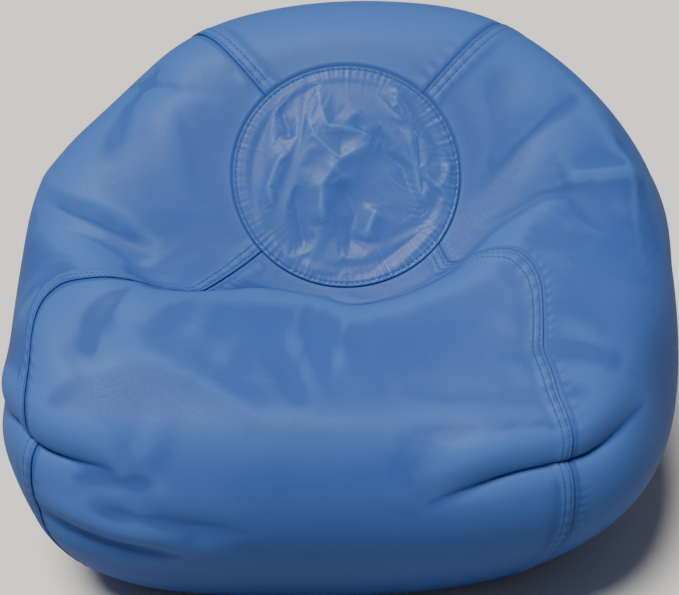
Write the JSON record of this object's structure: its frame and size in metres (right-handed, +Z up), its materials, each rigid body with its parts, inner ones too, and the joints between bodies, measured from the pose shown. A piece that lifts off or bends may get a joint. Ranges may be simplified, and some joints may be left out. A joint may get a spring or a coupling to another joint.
{
  "type": "bean bag chair",
  "caption": "Soft round seat of coated-fabric gores and a crown over a zipped round base, filled with beads inside a zipped liner, with a hollow to sit in.",
  "frame": {"origin": "on the floor, below the middle of the object's box", "axes": "+Z up, -Y the way the sitter faces (towards the front of the seat), +X to the sitter's left-hand side as seen by them facing -Y"},
  "size_m": [0.6434, 0.6378, 0.4906],
  "materials": {
    "cover_vinyl": "satin embossed vinyl-coated fabric",
    "topstitch_thread": "twisted polyester thread",
    "zip_tape": "woven polyester tape",
    "zip_coil": "nylon monofilament coil",
    "zip_metal": "zinc plated",
    "liner_cloth": "plain non-woven polyester",
    "beads": "expanded polystyrene"
  },
  "bodies": {
    "bag": {"crown_panel": "cover_vinyl", "front_panel": "cover_vinyl", "left_panel": "cover_vinyl", "right_panel": "cover_vinyl", "back_panel": "cover_vinyl", "base_panel_front": "cover_vinyl", "base_panel_rear": "cover_vinyl", "crown_topstitch": "topstitch_thread", "front_left_topstitch": "topstitch_thread", "front_right_topstitch": "topstitch_thread", "back_left_topstitch": "topstitch_thread", "back_right_topstitch": "topstitch_thread", "cover_zip_tape_front": "zip_tape", "cover_zip_tape_rear": "zip_tape", "liner_zip_tape_front": "zip_tape", "liner_zip_tape_rear": "zip_tape", "cover_zip_coil_front": "zip_coil", "cover_zip_coil_rear": "zip_coil", "liner_zip_coil_front": "zip_coil", "liner_zip_coil_rear": "zip_coil", "cover_zip_top_stop": "zip_metal", "cover_zip_bottom_stop": "zip_metal", "liner_zip_top_stop": "zip_metal", "liner_zip_bottom_stop": "zip_metal", "liner_wall": "liner_cloth", "liner_crown": "liner_cloth", "liner_base_front": "liner_cloth", "liner_base_rear": "liner_cloth", "bead_fill": "beads"},
    "cover_slider": {"cover_zip_slider": "zip_metal"},
    "liner_slider": {"liner_zip_slider": "zip_metal"}
  },
  "joints": [
    {"name": "cover_zip_slide", "type": "slide", "parent": "bag", "child": "cover_slider", "axis": [-1, 0, 0], "range_m": [0, 0.31]},
    {"name": "liner_zip_slide", "type": "slide", "parent": "bag", "child": "liner_slider", "axis": [-1, 0, 0], "range_m": [0, 0.27]}
  ]
}
